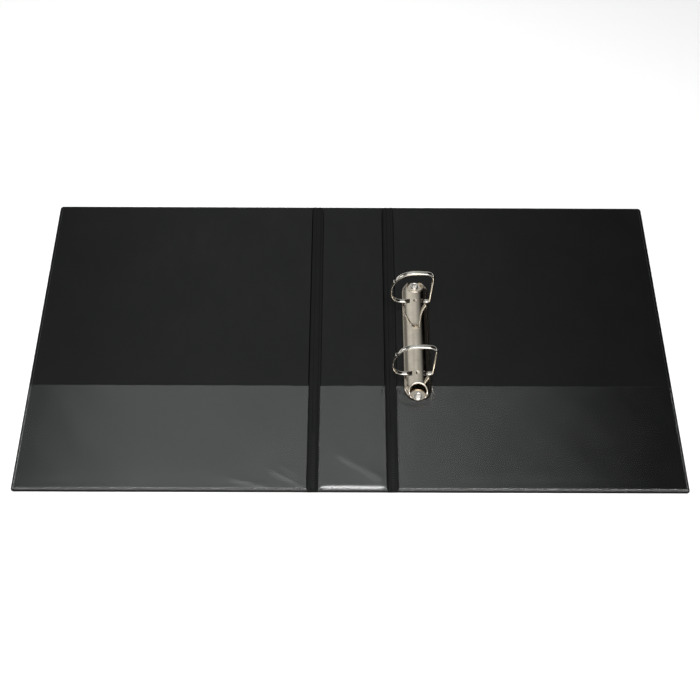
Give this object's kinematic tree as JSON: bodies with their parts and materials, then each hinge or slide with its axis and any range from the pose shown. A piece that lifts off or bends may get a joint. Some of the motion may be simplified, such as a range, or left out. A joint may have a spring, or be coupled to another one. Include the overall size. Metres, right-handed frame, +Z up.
{
  "type": "ring binder",
  "caption": "A4 black vinyl ring binder lying open flat: board covers, folding spine, clear lower pockets and a D-ring mechanism.",
  "frame": {"origin": "under the middle of the open binder, on the surface it lies on", "axes": "+X from the front cover to the back cover, +Y towards the top of the sheets, +Z up out of the covers' inside"},
  "size_m": [0.573, 0.315, 0.0522],
  "materials": {
    "vinyl": "matt embossed black vinyl",
    "film": "clear glossy film",
    "greyboard": "raw pressed board",
    "chrome": "bright nickel plating",
    "blade_steel": "plain rolled steel"
  },
  "bodies": {
    "back_cover": {"back_outer_skin": "vinyl", "back_board": "greyboard", "back_inner_skin": "vinyl", "back_pocket": "film", "back_hinge_strip": "vinyl", "cover_plate": "chrome", "rivets": "chrome", "rivet_washers": "blade_steel"},
    "spine": {"spine_outer_skin": "vinyl", "spine_board": "greyboard", "spine_inner_skin": "vinyl", "spine_pocket": "film"},
    "front_cover": {"front_outer_skin": "vinyl", "front_board": "greyboard", "front_inner_skin": "vinyl", "front_pocket": "film", "front_hinge_strip": "vinyl"},
    "left_rings": {"left_blade": "blade_steel", "upper_ring_left": "chrome", "lower_ring_left": "chrome"},
    "right_rings": {"right_blade": "blade_steel", "upper_ring_right": "chrome", "lower_ring_right": "chrome"}
  },
  "joints": [
    {"name": "spine_fold", "type": "hinge", "parent": "back_cover", "child": "spine", "pos_m": [0.03165, 0, 0.0006], "axis": [0, 1, 0], "range_deg": [0, 85]},
    {"name": "front_cover_fold", "type": "hinge", "parent": "spine", "child": "front_cover", "pos_m": [-0.02765, 0, 0.0006], "axis": [0, 1, 0], "range_deg": [0, 95]},
    {"name": "right_rings_pull", "type": "hinge", "parent": "back_cover", "child": "right_rings", "pos_m": [0.0705, -0.0032, 0.0044], "axis": [0, -1, 0], "range_deg": [-9, 0]},
    {"name": "left_rings_pull", "type": "hinge", "parent": "back_cover", "child": "left_rings", "pos_m": [0.0491, -0.0032, 0.0044], "axis": [0, 1, 0], "range_deg": [-9, 0]}
  ],
  "couplings": [
    {"joint": "left_rings_pull", "follows": "right_rings_pull", "ratio": 1}
  ]
}
